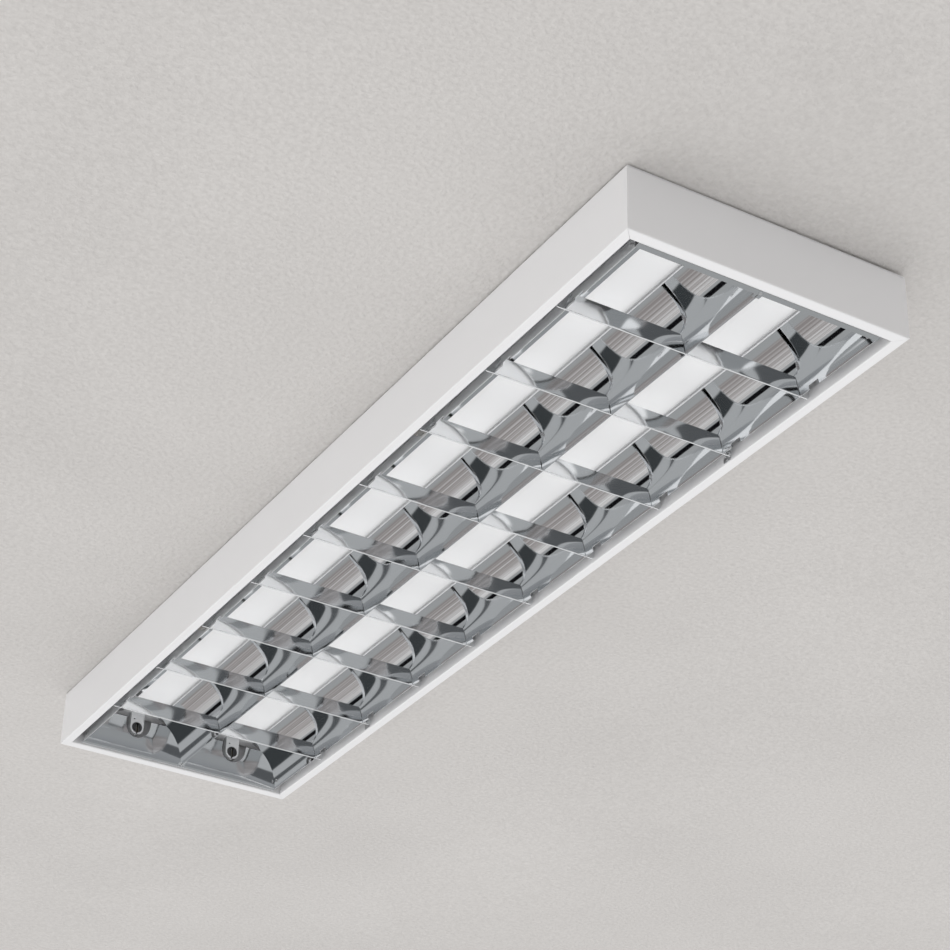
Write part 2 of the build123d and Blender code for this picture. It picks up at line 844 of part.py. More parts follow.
def make_end_reflector():
    """Near end reflector: flange, leaning mirror wall with lamp slots, ears behind the side mirrors."""
    plate = along_y(strip(end_line(), mirror_sheet, Side.RIGHT), housing_width)
    arc = reflector_arc(side_mouth_y, side_top_y, 1)
    back = Wire([arc]).offset_2d(2 * mirror_sheet + rivet_clearance, side=Side.RIGHT, closed=False)
    top = max(back @ 0, back @ 1, key=lambda p: p.Y)
    low = min(back @ 0, back @ 1, key=lambda p: p.Y)
    half = Wire([*back.edges(), *Polyline(top, (0, top.Y), (0, low.Y), low).edges()])
    outline = make_face(half)
    region = along_x(outline, housing_length)
    region += along_x(mirror(outline, about=Plane.YZ), housing_length)
    flange_zone = block(0, housing_length, -low.X, low.X, rim_z, louvre_z + mirror_sheet)
    plate &= region + flange_zone
    for sy in (1, -1):
        slot_z = lamp_z + lamp_slot_rise
        slot = Pos(sy * lamp_y, slot_z) * Circle(lamp_slot_radius)
        open_end = Rectangle(2 * lamp_slot_radius, housing_height)
        slot += Pos(sy * lamp_y, slot_z + housing_height / 2) * open_end
        plate -= along_x(slot, housing_length)
    trough = dip_half_width + dip_slope + trough_room
    plate -= block(0, housing_length, -trough, trough, dip_z - trough_room, 0)
    room = spine_tongue_width / 2 + louvre_clearance
    plate -= block(
        louvre_half_length - mirror_sheet,
        louvre_half_length + spine_tongue_length,
        -room,
        room,
        louvre_z + mirror_sheet,
        louvre_z + 2 * mirror_sheet + louvre_clearance,
    )
    ear_section = back_strip(rivet_clearance, mirror_sheet, end_ear_low, end_ear_high)
    ear = along_x(ear_section, 2 * louvre_half_length) & block(
        end_ear_x - end_ear_length / 2, louvre_half_length + mirror_sheet, 0, half_width, -housing_height, 0
    )
    end_room = block(
        louvre_half_length + mirror_sheet / 2, half_length, 0, half_width, -housing_height, 0
    )
    ear -= end_cut() & end_room
    ear -= back_hole(end_ear_x, ear_middle)
    plate += ear
    plate += mirror(ear, about=Plane.XZ)
    return plate - tongue_hole()


def make_blade(index):
    """V-shaped cross blade: two curved faces from one fold, notched above for the spine, with end ears."""
    half = make_face(Wire([blade_arc()]).offset_2d(blade_sheet, side=Side.LEFT))
    fold = Pos(0, louvre_z + blade_sheet / 2) * Rectangle(2 * blade_tip, blade_sheet)
    section = half + mirror(half, about=Plane.YZ) + fold
    left = -lip_y + blade_free_gap
    right = lip_y - blade_end_gap
    blade = along_y(section, right - left, (right + left) / 2)
    lock_z = louvre_z + blade_lock_height
    blade -= spine_notch(louvre_clearance, lock_z)
    corner = polygon((right - blade_corner, louvre_z), (right, louvre_z), (right, louvre_z + blade_corner))
    blade -= along_x(corner, far)
    for side in (1, -1):
        blade += make_blade_ear(side)
    if index in hinge_blades:
        across = (pin_radius + pin_clearance) / math.cos(math.pi / fastener_sides)
        blade -= along_x(octagon(across, hinge_y, hinge_z), far)
    return Pos(blade_x(index), 0, 0) * blade


def make_blade_ear(side):
    """Ear bent from the blade's near face along the back of a side reflector, which locks the blade."""
    low = louvre_bottom + blade_ear_low
    high = louvre_bottom + blade_ear_high
    section = back_strip(louvre_clearance, blade_sheet, low, high)
    ear = along_x(section, blade_ear_length, blade_ear_length / 2 + blade_tip)
    return ear if side > 0 else mirror(ear, about=Plane.XZ)


def make_hinge_pin(index):
    """Headed pin through a blade's end; it turns in the bracket's ear."""
    x = blade_x(index)
    tail = x - hinge_ear_stand - hinge_ear_thickness - pin_tail
    pin = rod_x(pin_radius, tail, x + pin_head_stand, hinge_y, hinge_z)
    head = octagon(pin_head_radius, hinge_y, hinge_z)
    return pin + along_x(head, pin_head_height, x + pin_head_stand + pin_head_height / 2)


def make_hinge_bracket(index):
    """Bracket on the rim's lip: a base plate and an ear with the pin hole."""
    x1 = blade_x(index) - hinge_ear_stand
    x0 = x1 - hinge_base_length
    base_z0 = rim_z + hinge_base_low
    base_z1 = rim_z + hinge_base_high
    bracket = block(x0, x1, lip_y - hinge_base_sheet, lip_y, base_z0, base_z1)
    hub = Pos(hinge_y, hinge_z) * RegularPolygon(hinge_ear_radius, hinge_ear_sides)
    bracket += along_x(hub, hinge_ear_thickness, x1 - hinge_ear_thickness / 2)
    ear_top = hinge_z + hinge_ear_radius
    ear_low = hinge_z - hinge_ear_radius
    ear = polygon((hinge_y, ear_top), (lip_y, base_z1), (lip_y, base_z0), (hinge_y, ear_low))
    bracket += along_x(ear, hinge_ear_thickness, x1 - hinge_ear_thickness / 2)
    bracket -= rod_x(pin_radius + pin_clearance, x0, x1 + overshoot, hinge_y, hinge_z)
    middle = (x0 + x1) / 2
    return bracket - hinge_rivet_hole(middle)


def make_hinge_rivets():
    """Rivets through the rim's lip and the brackets."""
    turned = Rot(-90, 0, 0) * small_rivet(housing_sheet + hinge_base_sheet)
    return [Pos(x, lip_y - hinge_base_sheet, hinge_rivet_z) * turned for x in hinge_places]


def make_spring_clip(place):
    """Bowed leaf on the back of the -Y side reflector that grips the rim's lip."""
    bow_y = (back_point(clip_bow_height) + lip_y) / 2
    nose = lip_y - clip_gap
    leaf = Polyline(
        (back_point(clip_foot_high) + louvre_clearance, rim_z + clip_foot_high),
        (back_point(clip_foot_low) + louvre_clearance, rim_z + clip_foot_low),
        (bow_y, rim_z + clip_bow_height),
        (nose, rim_z + clip_nose_height),
        (nose - clip_tip_inset, rim_z + clip_tip_height),
    )
    clip = along_x(strip(leaf, clip_sheet, Side.LEFT), clip_width, place)
    foot_room = block(-half_length, half_length, 0, bow_y, -housing_height, 0)
    clip -= back_hole(place, clip_rivet_height) & foot_room
    return mirror(clip, about=Plane.XZ)


def make_louvre_rivets():
    """Rivets of the spine tongues, the end reflectors' ears and the spring clips."""
    flat = small_rivet(2 * mirror_sheet)
    rivets = [Pos(sx * tongue_rivet_x, 0, louvre_z) * flat for sx in (1, -1)]
    for sx in (1, -1):
        ear_rivet = back_rivet(sx * end_ear_x, ear_middle, mirror_sheet)
        rivets.append(ear_rivet)
        rivets.append(mirror(ear_rivet, about=Plane.XZ))
    for x in clip_places:
        rivets.append(mirror(back_rivet(x, clip_rivet_height, clip_sheet), about=Plane.XZ))
    return rivets


def save_group(solids, name):
    """Write several separate solids as one node."""
    save(Compound(children=list(solids)), name)


os.makedirs("parts", exist_ok=True)
save(make_housing_channel(), "housing_channel")
near_plate = make_end_plate()
save(near_plate, "end_plate_near")
save(mirror(near_plate, about=Plane.YZ), "end_plate_far")
save_group(make_end_rivets(), "end_plate_rivets")
save(make_cable_bush(), "cable_bush")
save_group(make_standoffs(), "tray_standoffs")
save(make_gear_tray(), "gear_tray")
save_group(make_tray_screws(), "tray_screws")
save(make_ballast(), "ballast")
save_group(make_ballast_screws(), "ballast_screws")
save(make_terminal_block(), "terminal_block")
save_group(make_clamp_screws(), "terminal_clamp_screws")
save(make_terminal_screw(), "terminal_fixing_screw")
save(make_earth_stud(), "earth_stud")
save(make_earth_nut(), "earth_nut")

holder = make_holder()
rotor = make_rotor()
contacts = []
for sx, sy in holder_places:
    place = ("near" if sx > 0 else "far") + "_" + ("right" if sy > 0 else "left")
    save(placed(holder, sx, sy), f"lampholder_{place}")
    save(placed(rotor, sx, sy), f"rotor_{place}")
    contacts += [placed(leaf, sx, sy) for leaf in make_contacts()]
save_group(contacts, "lamp_contacts")

save(make_side_reflector(-1), "side_reflector_left")
save(make_side_reflector(1), "side_reflector_right")
save(make_spine(), "spine_reflector")
near_end = make_end_reflector()
save(near_end, "end_reflector_near")
save(mirror(near_end, about=Plane.YZ), "end_reflector_far")
for blade_number in range(1, cell_count):
    save(make_blade(blade_number), f"cross_blade_{blade_number}")
for place, index in zip(("near", "far"), hinge_blades):
    save(make_hinge_pin(index), f"hinge_pin_{place}")
    save(make_hinge_bracket(index), f"hinge_bracket_{place}")
save_group(make_hinge_rivets(), "hinge_bracket_rivets")
for place, x in zip(("near", "far"), clip_places):
    save(make_spring_clip(x), f"spring_clip_{place}")
save_group(make_louvre_rivets(), "louvre_rivets")
print("housing", housing_length, housing_width, housing_height)
print("cell pitch", round(cell_pitch, 3))
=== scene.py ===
# %% [markdown]
# A surface mount louvre light, dressed for its picture.
# The housing, gear tray, lampholders and screws come ready made and only get finishes.
# The bright mirror sheets are made again here as smooth surfaces: a mirror shows every facet.

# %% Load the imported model
import json
import math

import bmesh
import bpy
import numpy as np
from mathutils import Matrix


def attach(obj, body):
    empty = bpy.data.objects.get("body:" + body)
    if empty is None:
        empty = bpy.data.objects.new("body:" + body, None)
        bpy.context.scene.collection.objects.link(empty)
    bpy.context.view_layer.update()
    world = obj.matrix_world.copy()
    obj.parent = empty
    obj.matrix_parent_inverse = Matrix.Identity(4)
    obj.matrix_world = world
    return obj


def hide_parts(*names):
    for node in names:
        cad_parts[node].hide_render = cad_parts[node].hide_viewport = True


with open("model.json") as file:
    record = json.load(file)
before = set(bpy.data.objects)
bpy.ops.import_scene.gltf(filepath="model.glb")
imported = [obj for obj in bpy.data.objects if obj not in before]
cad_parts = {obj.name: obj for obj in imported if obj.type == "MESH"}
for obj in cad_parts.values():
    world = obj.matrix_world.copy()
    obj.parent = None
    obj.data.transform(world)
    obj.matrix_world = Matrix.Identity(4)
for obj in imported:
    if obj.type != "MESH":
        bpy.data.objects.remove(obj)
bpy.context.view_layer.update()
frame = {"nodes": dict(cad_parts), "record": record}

# %% [markdown]
# The light hangs on a ceiling and is seen from below, so the camera looks up at it.
# A long lens keeps the two long sides nearly parallel.
# The camera's three directions are written out, because a look-at helper would lose its small roll.

# %% Camera at the photograph's angle
MM = 0.001
image_pixels = 950
focal_pixels = 2401.2
camera_place = np.array([1899.57, -1041.57, -1256.40]) * MM
camera_right = (0.514047, 0.857473, 0.022279)
camera_down = (-0.434082, 0.282454, -0.855449)
camera_forward = (-0.739817, 0.430070, 0.517408)

lens = bpy.data.cameras.new("camera")
lens.sensor_width = 36.0
lens.lens = focal_pixels / image_pixels * lens.sensor_width
lens.clip_end = 100.0  # metres
camera = bpy.data.objects.new("camera", lens)
columns = [camera_right, [-v for v in camera_down], [-v for v in camera_forward]]
turn = Matrix([[column[row] for column in columns] for row in range(3)]).to_4x4()
camera.matrix_world = Matrix.Translation(camera_place.tolist()) @ turn
bpy.context.scene.collection.objects.link(camera)
bpy.context.scene.camera = camera
bpy.context.scene.view_settings.view_transform = "Standard"
print("lens", round(lens.lens, 1), "mm")

# %% [markdown]
# Finishes are small networks of shader nodes.
# Their maths reads best as Python, so one class wraps a socket and turns + - * into Math nodes.
# Every other node comes from one method, given its type, its settings and what feeds its sockets.

# %% A socket that does arithmetic, and one way to add a node
class Value:
    """A number, colour or shader that varies over a surface, held by an output socket."""

    def __init__(self, graph, socket):
        self.graph = graph
        self.socket = socket

    def _math(self, operation, a, b):
        return self.graph.add("ShaderNodeMath", {"operation": operation}, {0: a, 1: b})

    def __add__(self, other):
        return self._math("ADD", self, other)

    def __radd__(self, other):
        return self._math("ADD", other, self)

    def __sub__(self, other):
        return self._math("SUBTRACT", self, other)

    def __rsub__(self, other):
        return self._math("SUBTRACT", other, self)

    def __mul__(self, other):
        return self._math("MULTIPLY", self, other)


class Graph:
    """The nodes of one material or of the world."""

    def __init__(self, owner, end_kind="ShaderNodeOutputMaterial"):
        owner.use_nodes = True
        self.tree = owner.node_tree
        self.tree.nodes.clear()
        self.end = self.tree.nodes.new(end_kind)

    def add(self, kind, settings=None, inputs=None, output=0):
        """Adds a node, sets it, feeds its sockets and returns one output as a Value."""
        node = self.tree.nodes.new(kind)
        for name, setting in (settings or {}).items():
            if name == "stops":
                self.fill_ramp(node.color_ramp, setting)
            else:
                setattr(node, name, setting)
        for name, feed in (inputs or {}).items():
            if isinstance(feed, Value):
                self.tree.links.new(feed.socket, node.inputs[name])
            else:
                node.inputs[name].default_value = feed
        return Value(self, node.outputs[output])

    def fill_ramp(self, ramp, stops):
        """Puts (place, colour) pairs on a colour ramp."""
        while len(ramp.elements) < len(stops):
            ramp.elements.new(0.5)
        for element, (place, colour) in zip(ramp.elements, stops):
            element.position = place
            element.color = (*colour, 1.0)

    def show(self, shader):
        """Ends the network with this shader."""
        self.tree.links.new(shader.socket, self.end.inputs["Surface"])

    def mix(self, factor, first, second):
        """Colour that goes from the first to the second as the factor goes from 0 to 1."""
        return self.add("ShaderNodeMix", {"data_type": "RGBA"}, {0: factor, 6: first, 7: second}, 2)

    def smooth(self, value, low, high):
        """0 below low, 1 above high, with a soft step between."""
        settings = {"interpolation_type": "SMOOTHSTEP"}
        inputs = {"Value": value, "From Min": low, "From Max": high}
        return self.add("ShaderNodeMapRange", settings, inputs)

    def noise(self, scale, detail=2.0, stretch=(1.0, 1.0, 1.0)):
        """Cloudy noise over the object, scale in features per metre, squeezed along each axis."""
        place = self.add("ShaderNodeTexCoord", output="Object")
        drawn = self.add("ShaderNodeMapping", {}, {"Vector": place, "Scale": stretch})
        inputs = {"Vector": drawn, "Scale": scale, "Detail": detail}
        return self.add("ShaderNodeTexNoise", {}, inputs)

    def ray(self, fact):
        """What the light path knows about the ray that arrives here."""
        return self.add("ShaderNodeLightPath", output=fact)

    def seen_in_metal(self):
        """1 for a ray that comes from the camera by way of mirrors alone, 0 for any other."""
        matt_bounces = self.smooth(self.ray("Diffuse Depth"), 0.4, 0.6)
        return self.ray("Is Glossy Ray") * (1.0 - matt_bounces)


def new_finish(name):
    """A new material and the graph that its surface is written in."""
    material = bpy.data.materials.new(name)
    return material, Graph(material)


# %% [markdown]
# The light sits against a ceiling, over a plain pale floor a storey below.
# The camera looks up at it, so the ceiling is the picture's background.
# No ceiling is quite flat, and this one leaves a thin wedge of shadow along two sides of the light.
# It is see-through from its back, so that the light's top can be looked at from above.
# A ray that came down through it may leave through it again, so the top is lit as well.

# %% Ceiling
half_length = 0.6
half_width = 0.148


def square(name, half, height, slope, faces_down):
    """Flat square: z = height + slope_x (x + half_length) + slope_y (y + half_width)."""
    corners = np.array([[-1, -1], [1, -1], [1, 1], [-1, 1]]) * half
    level = height + (corners + (half_length, half_width)) @ np.array(slope)
    points = np.column_stack([corners, level])
    order = (3, 2, 1, 0) if faces_down else (0, 1, 2, 3)
    mesh = bpy.data.meshes.new(name)
    mesh.from_pydata(points.tolist(), [], [order])
    thing = bpy.data.objects.new(name, mesh)
    bpy.context.scene.collection.objects.link(thing)
    return thing


ceiling_half = 6.0
ceiling_gap = 0.0004
ceiling_slope = (0.0008, 0.009)
ceiling = square("ceiling", ceiling_half, ceiling_gap, ceiling_slope, True)

ceiling_paint, g = new_finish("ceiling_paint")
pale = [(0.3, (0.535, 0.517, 0.503)), (0.7, (0.645, 0.626, 0.610))]
plaster = g.noise(210.0, 4.0)
clouds = g.noise(3.0, 4.0) * 0.4 + plaster * 0.6
tone = g.add("ShaderNodeValToRGB", {"stops": pale}, {"Fac": clouds})
relief = g.add("ShaderNodeBump", {}, {"Height": plaster, "Strength": 0.8, "Distance": 0.002})
inputs = {"Base Color": tone, "Roughness": 0.9, "Normal": relief}
paint = g.add("ShaderNodeBsdfPrincipled", {}, inputs)
clear = g.add("ShaderNodeBsdfTransparent")
back = g.add("ShaderNodeNewGeometry", output="Backfacing")
passed = g.smooth(g.ray("Transparent Depth"), 0.4, 0.6)
close_by = 1.0 - g.smooth(g.ray("Ray Length"), 0.01, 0.02)
closed = (1.0 - back) * (1.0 - passed * close_by)
g.show(g.add("ShaderNodeMixShader", {}, {0: closed, 1: clear, 2: paint}))
ceiling.data.materials.append(ceiling_paint)
print("ceiling", 2 * ceiling_half, "m wide")

# %% [markdown]
# Mirrors show the room, not themselves, so what lies below decides how they look.
# The camera sees a plain pale floor.
# The mirrors see boards, black cloths and white cards laid out on it.
# Photographers do the same to give polished metal its dark edges and its sparkle.
# Where the cloths and cards lie was worked out from the directions in which the mirrors look.
# A real floor would shut out the soft light from below.
# So this one is only there for what the camera sees, straight or in a mirror.
# It is see-through from its underside, for a camera that looks up from under it.

# %% Floor
stage_colour = (0.605, 0.588, 0.573, 1)
room_height = 2.4
floor_half = 9.0
floor = square("floor", floor_half, -room_height, (0.0, 0.0), False)

floor_finish, g = new_finish("floor_finish")
place = g.add("ShaderNodeTexCoord", output="Object")
x, y = (g.add("ShaderNodeSeparateXYZ", {}, {0: place}, axis) for axis in "XY")


def patch(west, east, south, north, soft):
    """1 inside a rectangle of the floor, 0 outside it, with soft edges."""
    from_west = g.smooth(x, west - soft, west + soft)
    from_east = 1.0 - g.smooth(x, east - soft, east + soft)
    from_south = g.smooth(y, south - soft, south + soft)
    from_north = 1.0 - g.smooth(y, north - soft, north + soft)
    return (from_west * from_east) * (from_south * from_north)


worn = [(0.36, (0.26, 0.24, 0.235)), (0.5, (0.42, 0.40, 0.395)), (0.64, (0.68, 0.675, 0.675))]
grain = g.noise(1.3, 6.0, (0.3, 6.0, 1.0)) - (y + 1.8) * 0.08
boards = g.add("ShaderNodeValToRGB", {"stops": worn}, {"Fac": grain})
tone = g.mix(g.smooth(x, -0.8, 1.6), (0.33, 0.34, 0.345, 1), (0.45, 0.46, 0.465, 1))
tone = g.mix(patch(-9.5, -0.9, -3.15, -0.3, 0.12), tone, boards)
far_cloth = patch(-9.5, -1.3, -5.3, -3.75, 0.07)
near_cloth = patch(0.62, 3.2, -2.3, -0.6, 0.10)
grey_cloth = patch(4.0, 9.5, -4.3, -1.1, 0.15)
small_card = patch(-0.8, 0.5, -2.2, -0.4, 0.06)
large_card = patch(-1.5, 5.0, 0.6, 4.0, 0.15)
for laid, colour in ((far_cloth, (0.004, 0.004, 0.005, 1)),
                     (near_cloth, (0.045, 0.05, 0.053, 1)),
                     (grey_cloth, (0.10, 0.105, 0.11, 1)),
                     (small_card, (1.05, 1.05, 1.05, 1)),
                     (large_card, (1.0, 1.0, 1.0, 1))):
    tone = g.mix(laid, tone, colour)
by_camera = g.ray("Is Camera Ray")
tone = g.mix(by_camera, tone, stage_colour)
glow = g.add("ShaderNodeEmission", {}, {"Color": tone, "Strength": 1.0})
clear = g.add("ShaderNodeBsdfTransparent")
back = g.add("ShaderNodeNewGeometry", output="Backfacing")
shown = (by_camera + g.seen_in_metal()) * (1.0 - back)
g.show(g.add("ShaderNodeMixShader", {}, {0: shown, 1: clear, 2: glow}))
floor.data.materials.append(floor_finish)
print("floor", room_height, "m below the ceiling")

# %% [markdown]
# Beyond the floor the mirrors see grey walls.
# Everything matt gets its light from a soft dome that is a little brighter from one side.
# A low light at the far end draws the shadow beside the near end.
# Light that reaches a matt part by way of a mirror is a little brighter, to brighten the inside.

# %% Studio light
world = bpy.data.worlds.new("studio")
bpy.context.scene.world = world
g = Graph(world, "ShaderNodeOutputWorld")
direction = g.add("ShaderNodeTexCoord", output="Generated")
east, north, up = (g.add("ShaderNodeSeparateXYZ", {}, {0: direction}, axis) for axis in "XYZ")
wall = g.mix(g.smooth(up, -0.3, 0.0), (0.33, 0.34, 0.35, 1), (0.24, 0.25, 0.26, 1))

dome_strength = 0.95
mirror_gain = 0.2
side_light = east * -0.38 + north * -0.13 + up * -0.10 + dome_strength
low_light = g.smooth(east * -1.0, 0.55, 0.95) * g.smooth(up, -0.5, -0.1) * 0.5
strength = (side_light + low_light) * (1.0 + g.ray("Is Glossy Ray") * mirror_gain)
dome = g.add("ShaderNodeBackground", {}, {"Color": (1.0, 0.995, 0.99, 1), "Strength": strength})
room = g.add("ShaderNodeBackground", {}, {"Color": wall, "Strength": 1.0})
backdrop = g.add("ShaderNodeBackground", {}, {"Color": stage_colour, "Strength": 1.0})
lit = g.add("ShaderNodeMixShader", {}, {0: g.seen_in_metal(), 1: dome, 2: room})
g.show(g.add("ShaderNodeMixShader", {}, {0: g.ray("Is Camera Ray"), 1: lit, 2: backdrop}))
print("dome", dome_strength, "bright")

# %% [markdown]
# The mirror sheets share a few sizes, which are the real ones in millimetres.
# Heights are over the rim plane, the lowest plane of the housing.
# Each mirror wall is an arc of a circle in section, so one formula gives its width at any height.

# %% Sizes of the louvre
rim_plane = -66.0
lamp_middle = 63.4
low_edge = 2.0
top_edge = 48.0
hem_edge = 50.0
mouth = 62.8
throat = 23.0
sagitta = 8.4
sheet = 0.5
end_foot = 579.5
blade_step = 118.1
blade_first = 472.4
blade_numbers = range(1, 10)
blade_places = [blade_first - blade_step * (number - 1) for number in blade_numbers]

wall_run = mouth - throat
wall_rise = top_edge - low_edge
chord = math.hypot(wall_run, wall_rise)
radius = (chord * chord / 4 + sagitta * sagitta) / (2 * sagitta)
centre_out = (mouth + throat) / 2 - (radius - sagitta) * wall_rise / chord
centre_height = (low_edge + top_edge) / 2 - (radius - sagitta) * wall_run / chord


def wall_out(height):
    """Distance of a mirror wall from the lamp's middle plane at each height, on its circle."""
    clipped = np.minimum(height, top_edge)
    return centre_out + np.sqrt(radius ** 2 - (clipped - centre_height) ** 2)


print("mirror wall radius", round(radius, 1), "mm")

# %% [markdown]
# Every mirror sheet is a grid: rows at chosen heights, columns that follow the edges of its notches.
# A cell in a notch or a window is left out, so the cut edges stay clean without any boolean.
# Solidify then gives the sheet its thickness behind the mirror face.

# %% Sheets from masked grids
fold_angle = math.radians(35.0)


def sheet_mesh(name, parts, thickness):
    """Mesh from pairs of points, rows x columns x 3 in mm, and keep, which tells the cells to make.

    Cell (i, j) joins points (i, j), (i, j+1), (i+1, j+1) and (i+1, j).
    """
    corners, faces, offset = [], [], 0
    for points, keep in parts:
        rows, columns = points.shape[:2]
        index = np.arange(rows * columns).reshape(rows, columns) + offset
        cells = np.stack([index[:-1, :-1], index[:-1, 1:], index[1:, 1:], index[1:, :-1]], axis=-1)
        corners.append(points.reshape(-1, 3) * MM)
        faces.append(cells[keep])
        offset += rows * columns
    mesh = bpy.data.meshes.new(name)
    mesh.from_pydata(np.concatenate(corners).tolist(), [], np.concatenate(faces).tolist())
    mesh.shade_smooth()
    thing = bpy.data.objects.new(name, mesh)
    bpy.context.scene.collection.objects.link(thing)
    tidy_borders(mesh)
    wall = thing.modifiers.new("thickness", "SOLIDIFY")
    wall.thickness = thickness * MM
    wall.offset = -1.0
    wall.use_even_offset = True
    return thing


def tidy_borders(mesh):
    """Drops unused points and marks borders and tight folds sharp, so shading doesn't bend there."""
    work = bmesh.new()
    work.from_mesh(mesh)
    bmesh.ops.remove_doubles(work, verts=work.verts, dist=1e-6)
    bmesh.ops.dissolve_degenerate(work, edges=work.edges, dist=1e-7)
    bmesh.ops.delete(work, geom=[v for v in work.verts if not v.link_faces], context="VERTS")
    for edge in work.edges:
        edge.smooth = not edge.is_boundary and edge.calc_face_angle(0.0) < fold_angle
    work.to_mesh(mesh)
    work.free()


def heights(*stops):
    """Row heights from (height, rows up to the next stop) pairs; the last pair ends the list."""
    pieces = [np.linspace(a, b, n, endpoint=False) for (a, n), (b, _) in zip(stops, stops[1:])]
    return np.concatenate([*pieces, [stops[-1][0]]])


blade_tip = 0.45
blade_flare = 2.8
blade_top = 20.0
blade_hollow = 0.45
clearance = 0.3
tolerance = 0.001


def blade_half(height):
    """Half thickness of a blade: tip + (flare - tip) s - 4 hollow s (1 - s).

    s runs from 0 at the low edge to 1 at the blade's top.
    """
    share = (height - low_edge) / (blade_top - low_edge)
    return blade_tip + (blade_flare - blade_tip) * share - 4 * blade_hollow * share * (1 - share)


print("blade", 2 * blade_tip, "to", 2 * blade_flare, "mm thick")

# %% [markdown]
# The side reflectors are long curved mirrors, notched from below where the blades pass through.
# Beside each notch is a small window, which the blade's lug passes when the louvre is put together.

# %% Side reflectors
notch_top = blade_top + clearance
window_top = 6.5
window_start = 14.0
window_end = 28.0
end_lean = 10.0
end_top = 42.0
end_gap = 0.05


def end_place(height):
    """Where the side mirror ends: along the end mirror's leaning face, and upright above its top."""
    share = np.clip((height - low_edge) / (end_top - low_edge), 0, 1)
    return end_foot - end_gap - end_lean * share


def notched_columns(height, notch_high, windows):
    """Places along the light of all columns at each height, and what each strip between them is.

    Next to a blade two columns follow the notch's edges up to its top and stay upright above it.
    """
    rise = np.minimum(height, notch_high) - low_edge
    half = blade_tip + clearance + (blade_flare - blade_tip) * rise / (blade_top - low_edge)
    places, kinds = [-end_place(height)], []
    for middle in sorted(blade_places):
        places += [middle - half, middle + half]
        kinds += ["sheet", "notch"]
        if windows:
            places += [np.full_like(height, middle + edge) for edge in (window_start, window_end)]
            kinds += ["sheet", "window"]
    places.append(end_place(height))
    kinds.append("sheet")
    return np.stack(places, axis=1), np.array(kinds)


side_heights = heights((low_edge, 4), (window_top, 9), (notch_top, 18), (top_edge, 2),
                       (hem_edge, 0))
side_places, side_kinds = notched_columns(side_heights, notch_top, True)
row_tops = side_heights[1:, None]
side_keep = ~((side_kinds == "notch") & (row_tops <= notch_top + tolerance))
side_keep &= ~((side_kinds == "window") & (row_tops <= window_top + tolerance))


def make_side_reflector(name, side):
    """Mirror wall outside one lamp: out from the middle by the lamp's place plus the wall's arc."""
    out = np.broadcast_to((lamp_middle + wall_out(side_heights))[:, None], side_places.shape)
    high = np.broadcast_to((rim_plane + side_heights)[:, None], side_places.shape)
    points = np.stack([side_places, side * out, high], axis=-1)
    if side < 0:
        return sheet_mesh(name, [(points[:, ::-1], side_keep[:, ::-1])], sheet)
    return sheet_mesh(name, [(points, side_keep)], sheet)


side_reflectors = {name: make_side_reflector(name, side) for name, side in
                   (("side_mirror_left", -1), ("side_mirror_right", 1))}
print("side reflector rows", len(side_heights), "columns", side_places.shape[1])

# %% [markdown]
# The spine is one sheet folded to a V between the two lamps, with a curved mirror on both sides.
# It is notched from below as well, but only half as high.
# Each blade is notched from above to meet it.

# %% Spine reflector
lock_height = 11.0
lock_top = lock_height + clearance
tongue_start = 574.5
tongue_end = 584.5
tongue_half = 4.0
spine_heights = heights((low_edge, 9), (lock_top, 22), (top_edge, 2), (hem_edge, 0))
spine_places, spine_kinds = notched_columns(spine_heights, lock_top, False)
spine_keep = ~((spine_kinds == "notch") & (spine_heights[1:, None] <= lock_top + tolerance))


def make_spine():
    """Both mirror walls as one run of rows: down one side, across the fold and up the other."""
    rows = np.concatenate([spine_heights[::-1], spine_heights])
    sides = np.repeat([-1, 1], len(spine_heights))
    out = sides * (lamp_middle - wall_out(rows))
    places = np.concatenate([spine_places[::-1], spine_places])
    shape = places.shape
    across = np.broadcast_to(out[:, None], shape)
    high = np.broadcast_to((rim_plane + rows)[:, None], shape)
    points = np.stack([places, across, high], axis=-1)
    fold = spine_keep[:1]
    keep = np.concatenate([spine_keep[::-1], fold, spine_keep])
    return sheet_mesh("spine_mirror", [(points[::-1], keep[::-1]), *tongues()], sheet)


def tongues():
    """The flat tongue at each end that is riveted to the end reflector's flange."""
    parts = []
    for sign in (-1, 1):
        edges = np.array([tongue_start, tongue_end]) * sign
        along, across = np.meshgrid(edges, [-tongue_half, tongue_half])
        high = np.full_like(along, rim_plane + low_edge + sheet)
        flat = np.stack([along, across, high], axis=-1)
        parts.append((flat if sign < 0 else flat[:, ::-1], np.ones((1, 1), bool)))
    return parts


spine = make_spine()
print("spine rows", 2 * len(spine_heights))

# %% [markdown]
# The end reflectors close the two mirror columns.
# Each is a flange below and a leaning wall with a slot for each lamp's end.
# A row runs between the wall's outer edges, less the slots and the room for the tray's trough.

# %% End reflectors
slot_radius = 15.5
slot_centre = 36.0
trough_room = 24.0
trough_low = 39.0
flange = 6.5
slot_turn = np.radians(np.linspace(0, 84, 13))
slot_rows = slot_centre - slot_radius * np.cos(slot_turn)
low_rows = heights((low_edge, 6), (slot_centre - slot_radius, 0))
end_heights = np.unique(np.concatenate([low_rows, slot_rows, [slot_centre, trough_low, end_top]]))


